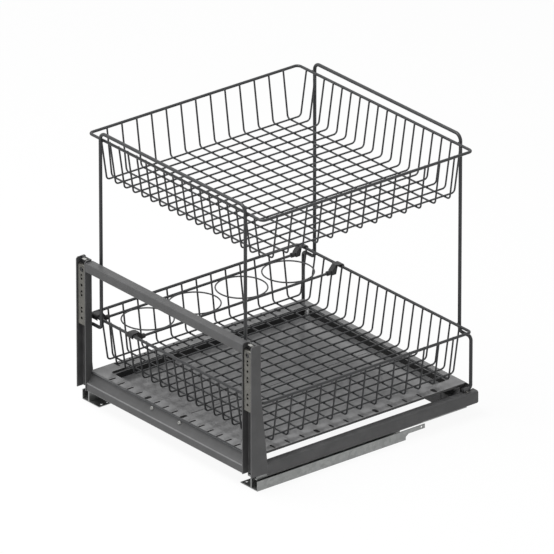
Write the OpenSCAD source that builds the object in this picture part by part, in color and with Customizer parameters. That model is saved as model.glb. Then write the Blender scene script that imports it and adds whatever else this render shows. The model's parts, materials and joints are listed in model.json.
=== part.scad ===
// Pull-out with two wire baskets for a base cabinet.
//
// A low drawer frame rides on two full-extension runners. Two wire frames stand on its side
// rails and carry the baskets, and two channel uprights take the cabinet's door.
// X is to the right seen from the door, Y is towards the back of the cabinet and Z is up.
// The origin is under the middle of the pull-out, on the cabinet floor. The drawer is closed.

/* [Cabinet] */
// Clear width between the side panels of the cabinet
cabinet_w = 464; // [430:1:564]

/* [Runners] */
// Length of the cabinet and drawer members
runner_len = 450; // [400:10:600]
// Steel thickness of the runner members
runner_t = 1.5; // [1.2:0.1:1.8]
// Distance of the runners behind the front of the uprights
runner_setback = 12.5; // [9:0.5:15]
// Width of the flange that lies on the cabinet floor
base_w = 45; // [40:1:48]
// Height of the wall that lies against the side panel
wall_h = 18; // [15:0.5:19]
// Length of the full-height wall
wall_len = 315; // [280:1:330]
// Length of the raised tab behind the wall
wall_tab_len = 41; // [30:1:50]
// Distance of the track's centre from the side panel
track_inset = 17; // [16.8:0.1:17.4]
// Height of the track's head above the cabinet floor
track_h = 23.5; // [22:0.5:26]
// Width of the track's head
track_head_w = 11; // [9:0.5:11.5]
// Diameter of the rollers
roller_d = 4; // [3:0.25:5]
// Distance between neighbouring rollers
roller_pitch = 24; // [16:1:32]
// Gap between a roller and each member
roller_gap = 0.3; // [0.25:0.05:0.4]
// Gap beside and under the members that wrap each other
wrap_gap = 0.5; // [0.4:0.05:0.6]
// Diameter of the screw holes in the runner flange
floor_hole_d = 5; // [4:0.5:6]

/* [Drawer frame] */
// Distance that the side rails reach behind the runners
rail_overhang = 21.5; // [16:0.5:30]
// Sheet thickness of the side rails, front profile and cross member
sheet_t = 1.5; // [1:0.1:2]
// Gap between the drawer frame and each side panel
side_gap = 0.8; // [0.5:0.1:1.5]
// Gap between the runner wall and the lower edge of a side rail
rail_lift = 4.5; // [3:0.5:6]
// Height of a side rail's top above its runner
rail_rise = 8.3; // [7:0.1:12]
// Width of a side rail across its top
rail_top_w = 14.2; // [13:0.1:15]
// Radius of a side rail's outer shoulder
rail_shoulder_r = 4; // [2:0.5:6]
// Depth of the front profile's front face
profile_face_h = 14.5; // [10:0.1:18]
// Sag of the front profile's hollow below a straight slope
profile_sag = 3; // [2:0.1:4]

/* [Tray] */
// Distance of the tray's front edge behind the front of the uprights
tray_setback = 12; // [11:0.5:16]
// Thickness of the tray's sheet
tray_t = 1; // [0.8:0.1:1.2]
// Height of the tray's border above the side rails
tray_rise = 13; // [11:0.5:18]
// Gap in plan between the tray's border and each side rail
tray_side_gap = 2.5; // [1.5:0.5:8]
// Width of the border around the tray's recess
tray_border = 26.5; // [24:0.5:34]
// Depth of the tray's recess
tray_recess = 14; // [10:0.5:14]
// Depth and width of the step inside the recess
tray_step = 4; // [3:0.5:5]
// Length and width of the slots in the border
slot_len = 14; // [8:0.5:16]
slot_w = 3.6; // [2:0.1:4]

/* [Door uprights] */
// Height of the uprights above the cabinet floor
upright_top = 263; // [230:1:300]
// Gap between the cabinet floor and the uprights
upright_lift = 27; // [24.5:0.5:28]
// Width of an upright across the door
upright_w = 24.5; // [22:0.5:26]
// Depth of an upright's inner wall
upright_d = 14.2; // [13:0.1:16.5]
// Depth of an upright's outer wall at the top and at the foot
outer_wall_d = 20.3; // [18:0.1:24]
outer_foot_d = 34.6; // [30:0.1:38]
// Sheet thickness of the uprights
upright_t = 1.8; // [1.5:0.1:2]
// Height of the cross bar
bar_h = 16.5; // [12:0.5:18]
// Distance of the cross bar below the top of the uprights
bar_drop = 2.8; // [2:0.2:12]
// Length of a door plate
plate_len = 107; // [104:1:112]
// Distance of a door plate below the top of its upright
plate_drop = 12; // [9:0.5:16]
// Distance of a door plate's face behind the front of its upright
plate_inset = 2; // [1:0.25:3]
// Distance between a door plate's two screw holes
plate_pitch = 60; // [58:1:62]
// Diameter of a door plate's screw holes
plate_hole_d = 5; // [4:0.2:5.4]
// Height adjustment of a door plate, up and down
plate_lift = 2; // [1:0.25:2.5]

/* [Baskets] */
// Diameter of the rim wire
rim_d = 5; // [4:0.25:6]
// Diameter of the basket wires
wire_d = 2.8; // [2:0.1:3.4]
// Gap between a basket rim and each side panel
rim_gap = 2; // [1:0.5:4]
// Distance from the front of the uprights to the front rim
rim_setback = 26.6; // [26:0.1:28]
// Distance from the back rim to the back of the side rails
rim_back_gap = 13.2; // [11:0.1:14]
// Radius of the rim's corners
rim_corner_r = 8; // [6:0.5:9]
// Depth of a basket from the rim to the floor wires
basket_depth = 79; // [60:1:90]
// Flare of the basket walls
wall_flare = 12; // [6:0.5:16]
// Radius of the wires' bends at the floor
wire_bend_r = 7; // [5:0.5:9]
// Spacing of the wires that run front to back
long_pitch = 23.6; // [20:0.1:25.6]
// Spacing of the wires that run across
cross_pitch = 31.2; // [28:0.1:32.8]
// Gap between the tray's border and the lower basket
basket_clear = 13; // [8:0.5:20]
// Height between the two baskets' rims
tier_pitch = 328; // [260:1:400]

/* [Basket frames] */
// Diameter of the frame wire
frame_d = 6; // [5:0.25:6.5]
// Height of a frame's top bar above the upper rim
top_bar_rise = 15; // [12:0.5:30]
// Distance of the posts inside the rim
post_inset = 37.3; // [34:0.1:44]
// Radius of a frame's top corners
frame_corner_r = 12; // [8:0.5:16]
// Radius of the bends at a frame's shoulders and feet
frame_bend_r = 7; // [6:0.5:8]
// Height of a frame's shoulders below the lower rim
shoulder_drop = 12; // [10:0.5:18]
// Length of a frame's feet
foot_len = 18; // [16:0.5:22]

/* [Bottle rack] */
// Inside diameter of a bottle ring
ring_inner_d = 85.4; // [70:0.1:88]
// Diameter of the ring wire
ring_wire_d = 2.6; // [2:0.1:3]
// Diameter of the rack's rods
rod_d = 4.5; // [4:0.25:5]
// Distance between neighbouring rings
ring_pitch = 100; // [94:0.5:102]
// Height of the rack below the rim
rack_drop = 8; // [7:0.5:12]
// Width of a rack clip
clip_w = 14; // [10:0.5:14]
// Reach of a rack clip from the rim to the end of its socket
clip_reach = 27; // [24:0.5:30]

/* [Hidden] */

$fn = 48;
wire_fn = 16;       // facets of the many thin wires in a preview
weld = 0.05;        // gap left at a weld between two wires
snug = 0.1;         // clearance of a piece that is pushed or slid into another
eps = 0.01;         // overlap that joins the solids of one piece
lap = 0.3;          // how far a straight wire enters its bends
swell = 0.02;       // how much thicker the wire is in its bends

dark = "#4b4b4e";
galvanised = "#8d908f";
nickel = "#a3a199";
plastic = "#2b2b2c";
sheet = "#707173";

// Main planes
half_w = cabinet_w / 2;
pullout_d = runner_setback + runner_len + rail_overhang;
front_y = -pullout_d / 2;
back_y = pullout_d / 2;

// Heights of the runner, from the cabinet floor up
roller_space = roller_d + 2 * roller_gap;
middle_web_z = track_h + roller_space;
drawer_web_z = middle_web_z + runner_t + roller_space;
runner_top = drawer_web_z + runner_t;
middle_foot_z = track_h - runner_t - wrap_gap - runner_t;
drawer_foot_z = middle_foot_z - wrap_gap - runner_t;

// Half widths of the members that wrap the track, about the track's centre
wrap_step = runner_t + 1.7;
middle_half = track_head_w / 2 + wrap_step;
drawer_half = middle_half + wrap_step + 0.2;
web_half = runner_t;

// Runner lengths, with full extension
travel = runner_len;
runner_y = front_y + runner_setback;
drawer_member_y = front_y + upright_d + 1;
drawer_member_len = runner_y + runner_len - drawer_member_y;
middle_y = drawer_member_y + 4;
middle_len = runner_len - 28;
cage_len = runner_len - 260;
lower_cage_y = runner_y + travel / 4 + 5;
upper_cage_y = middle_y + travel / 4 + 5;
cage_t = 1.2;
roller_len = track_head_w - 4;

// Side rails
rail_out = half_w - side_gap;
rail_in = rail_out - rail_top_w;
rail_bottom = wall_h + rail_lift;
rail_top = runner_top + rail_rise;
rail_foot_w = 11;
rail_y = drawer_member_y + 1;

// Uprights and cross bar
upright_in = rail_out - upright_w;
upright_back = front_y + upright_d;
foot_back = front_y + outer_foot_d;
gusset_top = upright_top - 85;
bar_top = upright_top - bar_drop;
plate_gap = 0.3;
plate_t = 2;
plate_w = upright_w - 2 * upright_t - 2 * plate_gap;
plate_x = (rail_out + upright_in) / 2;
plate_top = upright_top - plate_drop;
plate_y = front_y + plate_inset;
plate_z = plate_top - plate_len;
cam_head_d = 8;
cam_offset = 2.8;
cam_z = plate_top - 7;
cam_slot_gap = 0.25;

// Tray
tray_top = rail_top + tray_rise;
tray_x = rail_in - tray_side_gap;
tray_front = front_y + tray_setback;
tray_back = back_y - 12.4;
recess_x = tray_x - tray_border;
recess_front = tray_front + tray_border;
recess_back = tray_back - 12;

// Baskets
rim_r = rim_d / 2;
wire_r = wire_d / 2;
rim_x = half_w - rim_gap - rim_r;
rim_front = front_y + rim_setback;
rim_back = back_y - rim_back_gap;
rim_mid_y = (rim_front + rim_back) / 2;
rim_half_y = (rim_back - rim_front) / 2;
lower_floor_z = tray_top + basket_clear + wire_d + weld + wire_r;
lower_rim_z = lower_floor_z + basket_depth;
upper_rim_z = lower_rim_z + tier_pitch;
weld_in = rim_r + wire_r + weld;
corner_room = 25;
long_half_count = floor((rim_x - corner_room) / long_pitch + 0.5);
cross_half_count = floor((rim_half_y - corner_room) / cross_pitch);

// Basket frames
frame_r = frame_d / 2;
post_x = rim_x - post_inset;
leg_x = rail_in + frame_r + snug;
frame_gap = rim_r + frame_r + weld;
front_frame_y = rim_front - frame_gap;
rear_frame_y = rim_back + frame_gap;
top_bar_z = upper_rim_z + top_bar_rise;
shoulder_z = lower_rim_z - shoulder_drop;
foot_z = rail_top + frame_r + weld;

// The cross bar fills the space in front of the front frame's posts
bar_front = front_y + 0.3;
bar_d = front_frame_y - frame_r - 0.4 - bar_front;

// Bottle rack
ring_r = ring_inner_d / 2 + ring_wire_d / 2;
rod_apart = ring_r + ring_wire_d / 2 + rod_d / 2 + weld;
rack_x = -(rim_x - rim_corner_r - clip_w / 2) + rod_apart;
rack_z = lower_rim_z - rack_drop;
rod_end = rim_half_y - clip_reach + 9;

// ---- helpers -------------------------------------------------------------------------------

function unit(v) = v / norm(v);

// Any vector square to v
function square_to(v) = unit(cross(v, abs(v.z) < 0.9 ? [0, 0, 1] : [1, 0, 0]));

// Places the frame whose axes are e1, e2 and e3 at point p
module place(e1, e2, e3, p) {
    multmatrix([
        [e1.x, e2.x, e3.x, p.x],
        [e1.y, e2.y, e3.y, p.y],
        [e1.z, e2.z, e3.z, p.z],
        [0, 0, 0, 1]
    ]) children();
}

// A straight length of wire from a to b
module straight(a, b, r) {
    e3 = unit(b - a);
    e1 = square_to(e3);
    place(e1, cross(e3, e1), e3, a) cylinder(h = norm(b - a), r = r);
}

// How far a bend at b, between a and c, reaches along each leg
function setback(a, b, c, bend_r) =
    let (turn = 180 - acos(unit(a - b) * unit(c - b)))
    bend_r * tan(turn / 2);

// The round bend at b of a wire that comes from a and goes to c
module elbow(a, b, c, r, bend_r) {
    u = unit(a - b);
    w = unit(c - b);
    opening = acos(u * w);
    reach = setback(a, b, c, bend_r);
    centre = b + unit(u + w) * bend_r / sin(opening / 2);
    e1 = unit(b + u * reach - centre);
    e3 = unit(cross(e1, b + w * reach - centre));
    place(e1, cross(e3, e1), e3, centre)
        rotate_extrude(angle = 180 - opening) translate([bend_r, 0]) circle(r = r + swell);
}

// A wire along the points, with a bend at every inner point
module bent_wire(points, r, bend_r) {
    last = len(points) - 1;
    for (i = [0 : last - 1]) {
        along = unit(points[i + 1] - points[i]);
        cut_a = i == 0 ? 0
            : setback(points[i - 1], points[i], points[i + 1], bend_r) - lap;
        cut_b = i == last - 1 ? 0
            : setback(points[i], points[i + 1], points[i + 2], bend_r) - lap;
        straight(points[i] + along * cut_a, points[i + 1] - along * cut_b, r);
    }
    for (i = [1 : last - 1])
        elbow(points[i - 1], points[i], points[i + 1], r, bend_r);
}

// A closed wire rectangle, 2 * x by 2 * y, with round corners
module wire_loop(x, y, r, corner_r) {
    for (s = [-1, 1]) {
        straight([-x + corner_r, s * y, 0], [x - corner_r, s * y, 0], r);
        straight([s * x, -y + corner_r, 0], [s * x, y - corner_r, 0], r);
    }
    for (quarter = [0 : 3]) {
        turn = 90 * quarter;
        sx = quarter == 0 || quarter == 3 ? 1 : -1;
        sy = quarter < 2 ? 1 : -1;
        translate([sx * (x - corner_r), sy * (y - corner_r), 0]) rotate([0, 0, turn])
            rotate_extrude(angle = 90) translate([corner_r, 0]) circle(r = r);
    }
}

// Extrudes an outline drawn in X and Z from y0 to y1
module along_y(y0, y1) {
    translate([0, y1, 0]) rotate([90, 0, 0]) linear_extrude(y1 - y0) children();
}

// Extrudes an outline drawn in Y and Z from x0 to x1
module along_x(x0, x1) {
    translate([x0, 0, 0]) rotate([90, 0, 90]) linear_extrude(x1 - x0) children();
}

// A right-hand piece stands as drawn, and side = -1 mirrors it to the left
module on_side(side) {
    if (side > 0) children();
    else mirror([1, 0, 0]) children();
}

// A rectangle in plan or section, from its lowest corner to its highest
module rect(a, b) {
    translate(a) square(b - a);
}

// A flat slot with round ends, len long in all along X
module slot_2d(length, width) {
    square([length - width, width], center = true);
    for (s = [-1, 1]) translate([s * (length - width) / 2, 0]) circle(d = width);
}

// Points on an arc about c from angle a0 to a1
function arc(c, r, a0, a1, n) = [
    for (i = [0 : n])
        c + r * [cos(a0 + (a1 - a0) * i / n), sin(a0 + (a1 - a0) * i / n)]
];

// ---- runners -------------------------------------------------------------------------------

// Position across the cabinet of a point u from the right side panel
function from_panel(u) = half_w - u;

track_x = from_panel(track_inset);

// A channel around the track, open downwards, with two lips
module wrap_2d(half, web_z, lip_z, lip_w) {
    rect([track_x - half, web_z], [track_x + half, web_z + runner_t]);
    for (s = [-1, 1]) translate([track_x, 0]) scale([s, 1]) {
        rect([half - runner_t, lip_z], [half, web_z + runner_t]);
        rect([half - runner_t - lip_w, lip_z], [half, lip_z + runner_t]);
    }
}

floor_hole_x = from_panel(base_w - 5.5);
floor_hole_ys = [runner_y + 9, runner_y + wall_len - 29];
floor_pin_y = runner_y + 21;
rear_web_z = 13;

module cabinet_member(side) {
    wall_end = runner_y + wall_len;
    color(galvanised) on_side(side) difference() {
        union() {
            along_y(runner_y, wall_end) {
                rect([from_panel(base_w), 0], [half_w, runner_t]);
                rect([track_x - web_half, 0], [track_x + web_half, track_h]);
            }
            // behind the wall only the upper part of the track goes on
            along_y(runner_y, runner_y + runner_len) {
                rect([track_x - web_half, rear_web_z], [track_x + web_half, track_h]);
                rect([track_x - track_head_w / 2, track_h - runner_t],
                     [track_x + track_head_w / 2, track_h]);
            }
            along_x(half_w - runner_t, half_w) {
                rect([runner_y, 0], [wall_end, wall_h]);
                polygon([
                    [wall_end - eps, wall_h], [wall_end - eps, wall_h - 12],
                    [wall_end + 6, wall_h - 7.5], [wall_end + wall_tab_len, wall_h - 7.5],
                    [wall_end + wall_tab_len, wall_h]
                ]);
            }
        }
        for (y = floor_hole_ys)
            translate([floor_hole_x, y, -1]) cylinder(d = floor_hole_d, h = runner_t + 2);
        translate([floor_hole_x, floor_pin_y, -1]) cylinder(d = 4, h = runner_t + 2);
        translate([half_w - runner_t - 1, wall_end + wall_tab_len - 7, wall_h - 3.75])
            rotate([0, 90, 0]) cylinder(d = 4, h = runner_t + 2);
    }
}

// Closed housing on the base flange, beside the track
module soft_close(side) {
    x0 = from_panel(base_w - 1);
    x1 = track_x - drawer_half - 1.2;
    y0 = runner_y + wall_len / 3;
    y1 = floor_hole_ys[1] - 8;
    top = drawer_foot_z - 2;
    color(plastic) on_side(side) difference() {
        along_y(y0, y1) polygon([
            [x0, runner_t], [x1, runner_t], [x1, top - 1], [x1 - 1, top],
            [x0 + 3, top], [x0, top - 3]
        ]);
        // the slot in which the pull-in catch runs
        translate([(x0 + x1) / 2 - 1.6, y0 + 12, top - 4]) cube([3.2, y1 - y0 - 50, 5]);
        for (y = [y0 - 1, y1 - 5])
            translate([x0 - 1, y, top - 5]) cube([x1 - x0 + 2, 6, 6]);
    }
}

module middle_member(side) {
    color(galvanised) on_side(side) difference() {
        along_y(middle_y, middle_y + middle_len)
            wrap_2d(middle_half, middle_web_z, middle_foot_z,
                    middle_half - runner_t - web_half - 1.7);
        // openings that lighten the web
        for (y = [middle_y + 24, middle_y + middle_len - 24])
            translate([track_x, y, middle_web_z - 1]) rotate([0, 0, 90])
                linear_extrude(runner_t + 2) slot_2d(16, 6);
    }
}

module drawer_member(side) {
    color(galvanised) on_side(side) difference() {
        along_y(drawer_member_y, drawer_member_y + drawer_member_len)
            wrap_2d(drawer_half, drawer_web_z, drawer_foot_z, 5);
        // hole for the hook of the cross member
        translate([track_x - drawer_half + 5, drawer_member_y + drawer_member_len - 14,
                   drawer_web_z - 1])
            cylinder(d = 6, h = runner_t + 2);
    }
}

// Strip that keeps the rollers apart
module cage(side, y0, z) {
    count = floor((cage_len - 12) / roller_pitch) + 1;
    color(plastic) on_side(side) difference() {
        translate([track_x - track_head_w / 2, y0, z - cage_t / 2])
            cube([track_head_w, cage_len, cage_t]);
        for (i = [0 : count - 1])
            translate([track_x - roller_len / 2 - 2 * snug, y0 + 10 + i * roller_pitch
                       - roller_d / 2 - 2 * snug, z - cage_t])
                cube([roller_len + 4 * snug, roller_d + 4 * snug, 2 * cage_t]);
    }
}

module rollers(side, y0, z) {
    count = floor((cage_len - 12) / roller_pitch) + 1;
    color(nickel) on_side(side) for (i = [0 : count - 1])
        translate([track_x - roller_len / 2, y0 + 10 + i * roller_pitch, z])
            rotate([0, 90, 0]) cylinder(d = roller_d, h = roller_len);
}

lower_roller_z = track_h + roller_space / 2;
upper_roller_z = middle_web_z + runner_t + roller_space / 2;

// ---- drawer frame --------------------------------------------------------------------------

// Section of the right side rail: outer wall, round shoulder, top, inner wall and foot
module side_rail_2d() {
    r = rail_shoulder_r;
    t = sheet_t;
    c = [rail_out - r, rail_top - r];
    r_in = max(r - t, 0.4);
    ci = [rail_out - t - r_in, rail_top - t - r_in];
    polygon(concat(
        [[rail_out, rail_bottom]],
        arc(c, r, 0, 90, 6),
        [[rail_in, rail_top], [rail_in, runner_top + t], [rail_in - rail_foot_w, runner_top + t],
         [rail_in - rail_foot_w, runner_top], [rail_in + t, runner_top],
         [rail_in + t, rail_top - t]],
        arc(ci, r_in, 90, 0, 6),
        [[rail_out - t, rail_bottom]]
    ));
}

module side_rail(side) {
    color(dark) on_side(side) difference() {
        along_y(rail_y, back_y - cap_t) side_rail_2d();
        // the outer wall and shoulder start behind the foot of the upright
        along_x(rail_out - upright_t - snug, rail_out + 1)
            rect([rail_y - 1, rail_bottom - 1], [foot_back + snug, rail_top + 1]);
    }
}

// Plugs that close the rear ends of the side rails
cap_t = 3;
cap_plug = 9;
cap_skirt_w = 7;

module rail_caps() {
    t = sheet_t;
    color(dark) for (side = [-1, 1]) on_side(side) {
        difference() {
            along_y(back_y - cap_t, back_y) {
                rect([rail_in, runner_top], [rail_out, rail_top - rail_shoulder_r]);
                rect([rail_in, runner_top], [rail_out - rail_shoulder_r, rail_top]);
                translate([rail_out - rail_shoulder_r, rail_top - rail_shoulder_r])
                    circle(r = rail_shoulder_r);
                rect([rail_out - cap_skirt_w, rail_bottom],
                     [rail_out, rail_top - rail_shoulder_r]);
            }
            // rounded lower corner at the very back
            translate([rail_in - 1, back_y, rail_bottom]) rotate([0, 90, 0])
                rotate([0, 0, 45]) translate([-1.4, -1.4, 0]) cube([2.8, 2.8, rail_top_w + 2]);
        }
        along_y(back_y - cap_t - cap_plug, back_y - cap_t + eps)
            rect([rail_in + t + snug, runner_top + 1],
                 [rail_out - rail_shoulder_r - snug, rail_top - t - snug]);
    }
}

profile_front = front_y + 1.5;
profile_bottom = upright_lift - 0.3;
fold_z = profile_bottom + profile_face_h;
profile_foot_w = 12;
profile_lip_y = tray_front + 1;
profile_lip_w = 3;
profile_return_h = 9;
profile_top = tray_top - tray_t;

// Half of the arc that joins the fold and the tray's edge
hollow_chord = [profile_lip_y - profile_front, profile_top - fold_z];
hollow_len = norm(hollow_chord);
hollow_r = (hollow_len * hollow_len / 4 + profile_sag * profile_sag) / (2 * profile_sag);
hollow_half = asin(hollow_len / 2 / hollow_r);
hollow_tilt = atan2(hollow_chord.y, hollow_chord.x);
hollow_mid = [profile_front, fold_z] + hollow_chord / 2;
hollow_c = hollow_mid + (hollow_r - profile_sag) * [-sin(hollow_tilt), cos(hollow_tilt)];
hollow_a0 = hollow_tilt - 90 - hollow_half;
hollow_a1 = hollow_tilt - 90 + hollow_half;

// Section of the front profile in Y and Z
module front_profile_2d() {
    t = sheet_t;
    steps = 10;
    polygon(concat(
        [[profile_front, profile_bottom], [profile_front, fold_z]],
        arc(hollow_c, hollow_r, hollow_a0, hollow_a1, steps),
        [[profile_lip_y + profile_lip_w, profile_top],
         [profile_lip_y + profile_lip_w, profile_top - profile_return_h],
         [profile_lip_y + profile_lip_w - t, profile_top - profile_return_h],
         [profile_lip_y + profile_lip_w - t, profile_top - t],
         [profile_lip_y + t, profile_top - t]],
        arc(hollow_c, hollow_r + t, hollow_a1 - 4, hollow_a0 + 3, steps),
        [[profile_front + t, fold_z - t], [profile_front + t, profile_bottom + t],
         [profile_front + profile_foot_w, profile_bottom + t],
         [profile_front + profile_foot_w, profile_bottom]]
    ));
}

// Closed section of the front profile, which its end plates fill as far as the side rails
module profile_end_2d() {
    end_y = min(drawer_member_y - 0.4, profile_lip_y);
    polygon(concat(
        [[profile_front, profile_bottom], [profile_front, fold_z]],
        arc(hollow_c, hollow_r, hollow_a0, hollow_a1, 10),
        [[profile_lip_y + profile_lip_w, profile_top],
         [profile_lip_y + profile_lip_w, profile_top - profile_return_h],
         [end_y, profile_top - profile_return_h],
         [end_y, profile_bottom + 4], [profile_front + profile_foot_w, profile_bottom]]
    ));
}

screw_apart = 73;
screw_mid_x = -8;
screw_angle = hollow_tilt - 90 + hollow_half / 2;
screw_foot = hollow_c + hollow_r * [cos(screw_angle), sin(screw_angle)];

// Places its children on the hollow, pointing square out of it
module on_hollow(x) {
    translate([x, screw_foot.x, screw_foot.y]) rotate([screw_angle + 90, 0, 0]) children();
}

profile_half = upright_in;

module front_profile() {
    color(dark) difference() {
        union() {
            along_x(-profile_half, profile_half) front_profile_2d();
            for (s = [-1, 1])
                translate([s * (profile_half - sheet_t / 2), 0, 0])
                    along_x(-sheet_t / 2, sheet_t / 2) profile_end_2d();
        }
        for (s = [-1, 1]) on_hollow(screw_mid_x + s * screw_apart / 2)
            translate([0, 0, -4]) cylinder(d = 4.2, h = 8);
    }
}

screw_head_d = 7.4;
screw_head_h = 1.9;
screw_shank = 3.2;

module profile_screws() {
    // the rim of a flat head meets the hollow above its middle
    seat = hollow_r - sqrt(hollow_r * hollow_r - screw_head_d * screw_head_d / 4) + weld;
    color(nickel) for (s = [-1, 1]) on_hollow(screw_mid_x + s * screw_apart / 2)
        difference() {
            union() {
                translate([0, 0, seat])
                    cylinder(d1 = screw_head_d, d2 = screw_head_d - 2, h = screw_head_h);
                translate([0, 0, -screw_shank]) cylinder(d = 4, h = screw_shank + seat + eps);
            }
            translate([0, 0, seat + 0.9]) cylinder(d = 3, h = screw_head_h, $fn = 6);
        }
}

cross_front = tray_back - 31.6;
cross_back = tray_back - 1.5;
cross_bottom = 10;
cross_foot_w = 14;
cross_back_h = 12;
cross_shelf = tray_top - tray_recess - tray_t - 0.5;
cross_riser = recess_back + tray_t + 0.5;
cross_top = tray_top - tray_t;

// Folded section under the back of the tray: a channel, a shelf and a riser to the border
module rear_cross_2d() {
    t = sheet_t;
    polygon([
        [cross_front, cross_bottom], [cross_front, cross_shelf],
        [cross_riser, cross_shelf], [cross_riser, cross_top],
        [cross_back, cross_top], [cross_back, cross_bottom + cross_back_h],
        [cross_back - t, cross_bottom + cross_back_h], [cross_back - t, cross_top - t],
        [cross_riser + t, cross_top - t], [cross_riser + t, cross_shelf - t],
        [cross_front + t, cross_shelf - t], [cross_front + t, cross_bottom + t],
        [cross_front + cross_foot_w, cross_bottom + t],
        [cross_front + cross_foot_w, cross_bottom]
    ]);
}

// Member under the back of the tray, with ears that rest on the feet of the side rails
module rear_cross_member() {
    t = sheet_t;
    end_x = from_panel(base_w) - 1;
    ear_x = tray_x - 4;
    ear_front = cross_riser + t;
    color(dark) {
        along_x(-end_x, end_x) rear_cross_2d();
        for (s = [-1, 1]) on_side(s) along_y(ear_front, cross_back) {
            rect([end_x - eps, cross_top - t], [ear_x, cross_top]);
            rect([ear_x - t, runner_top + t], [ear_x, cross_top]);
            rect([rail_in - rail_foot_w, runner_top + t], [ear_x, runner_top + 2 * t]);
        }
    }
}

// Plan of the tray's recess, let in by d
module recess_2d(d) {
    r = 6;
    x = recess_x - d;
    y0 = recess_front + d;
    y1 = recess_back - d;
    rect([-x + r, y0], [x - r, y1]);
    rect([-x, y0 + r], [x, y1 - r]);
    for (cx = [-x + r, x - r], cy = [y0 + r, y1 - r]) translate([cx, cy]) circle(r = r);
}

// One slot across the border at p, along Y where turned, and every few of them wide
module border_slot(p, turned, wide) {
    translate([p.x, p.y, tray_top - tray_t - 1]) rotate([0, 0, turned ? 90 : 0])
        linear_extrude(tray_t + 2) slot_2d(slot_len, wide ? 2 * slot_w : slot_w);
}

// Slots across the border: a row in front and one on each side, in step with the wires of
// the basket above them
module tray_slots() {
    last = floor((recess_x - slot_w) / long_pitch);
    for (i = [-last : last])
        border_slot([i * long_pitch, tray_front + 12], true, abs(i + 1) == 2);
    for (k = [0 : 2 * cross_half_count - 1], s = [-1, 1])
        border_slot([s * (tray_x - 9), rim_mid_y + (k - cross_half_count) * cross_pitch + 4],
                    false, k % 4 == 3);
}

module tray() {
    t = tray_t;
    step = tray_step;
    bottom = tray_top - tray_recess - t;
    bead_w = 5;
    color(sheet) difference() {
        union() {
            translate([0, 0, tray_top - t]) linear_extrude(t)
                rect([-tray_x, tray_front], [tray_x, tray_back]);
            translate([0, 0, tray_top - step - t]) linear_extrude(step + t) recess_2d(-t);
            translate([0, 0, bottom]) linear_extrude(tray_recess + t) recess_2d(step - t);
            // downturned edges of the border
            for (s = [-1, 1])
                translate([s * (tray_x - t / 2) - t / 2, tray_front + 24, tray_top - 4])
                    cube([t, tray_back - tray_front - 24, 4]);
            translate([-tray_x, tray_back - t, tray_top - 4]) cube([2 * tray_x, t, 4]);
        }
        translate([0, 0, tray_top - step]) linear_extrude(step + 1) recess_2d(0);
        translate([0, 0, bottom + t]) linear_extrude(tray_recess + 1) recess_2d(step);
        // centre bead, pressed down into the floor
        translate([-bead_w / 2, recess_front + 22, bottom + t / 2])
            cube([bead_w, recess_back - recess_front - 44, t]);
        tray_slots();
        // corners cut back for the uprights
        for (s = [-1, 1])
            translate([s * (upright_in - 1 + upright_w / 2) - upright_w / 2, tray_front - 1,
                       tray_top - t - 1])
                cube([upright_w, upright_back + 1 - tray_front + 1, t + 2]);
    }
}

// ---- door uprights -------------------------------------------------------------------------

module upright(side) {
    t = upright_t;
    z0 = upright_lift;
    tongue_d = 30;
    color(dark) on_side(side) difference() {
        union() {
            // outer wall, deeper towards its foot
            along_x(rail_out - t, rail_out) polygon([
                [front_y, z0], [foot_back, z0], [foot_back, rail_top - 4],
                [front_y + outer_wall_d, gusset_top], [front_y + outer_wall_d, upright_top - 3],
                [front_y + outer_wall_d - 3, upright_top], [front_y + 3, upright_top],
                [front_y, upright_top - 3]
            ]);
            along_x(upright_in, upright_in + t) polygon([
                [front_y, z0], [upright_back, z0], [upright_back, upright_top],
                [front_y + 3, upright_top], [front_y, upright_top - 3]
            ]);
            along_x(upright_in, rail_out)
                rect([upright_back - t, z0], [upright_back, upright_top]);
            // tongue inside the side rail
            translate([rail_out - 2 * t - snug, upright_back - eps, z0])
                cube([t + 2 * snug, foot_back + tongue_d - upright_back, 11]);
        }
        // slim the tongue where it lies behind the rail's outer wall
        translate([rail_out - sheet_t - snug, foot_back, z0 - 1])
            cube([sheet_t + 1, tongue_d + 1, 14]);
        // bearing of the cam screw
        translate([plate_x - cam_offset, upright_back - t - 1, cam_z])
            rotate([-90, 0, 0]) cylinder(d = 5 + snug, h = t + 2);
    }
}

module cross_bar() {
    t = 1.5;
    r = 2;
    low = bar_top - bar_h;
    back = bar_front + bar_d;
    color(sheet) along_x(-upright_in, upright_in) difference() {
        union() {
            rect([bar_front + r, low], [back - r, bar_top]);
            rect([bar_front, low + r], [back, bar_top - r]);
            for (y = [bar_front + r, back - r], z = [low + r, bar_top - r])
                translate([y, z]) circle(r = r);
        }
        rect([bar_front + t, low + t], [back - t, bar_top - t]);
    }
}

// Heights of the door screws, and of the slots between and above them
plate_hole_z = plate_z + 11.5;
plate_hole_zs = [plate_hole_z, plate_hole_z + plate_pitch];
plate_slot_zs = [for (i = [0 : 2]) plate_hole_z + (i + 0.5) * plate_pitch / 2];
stud_d = 4;

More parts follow.
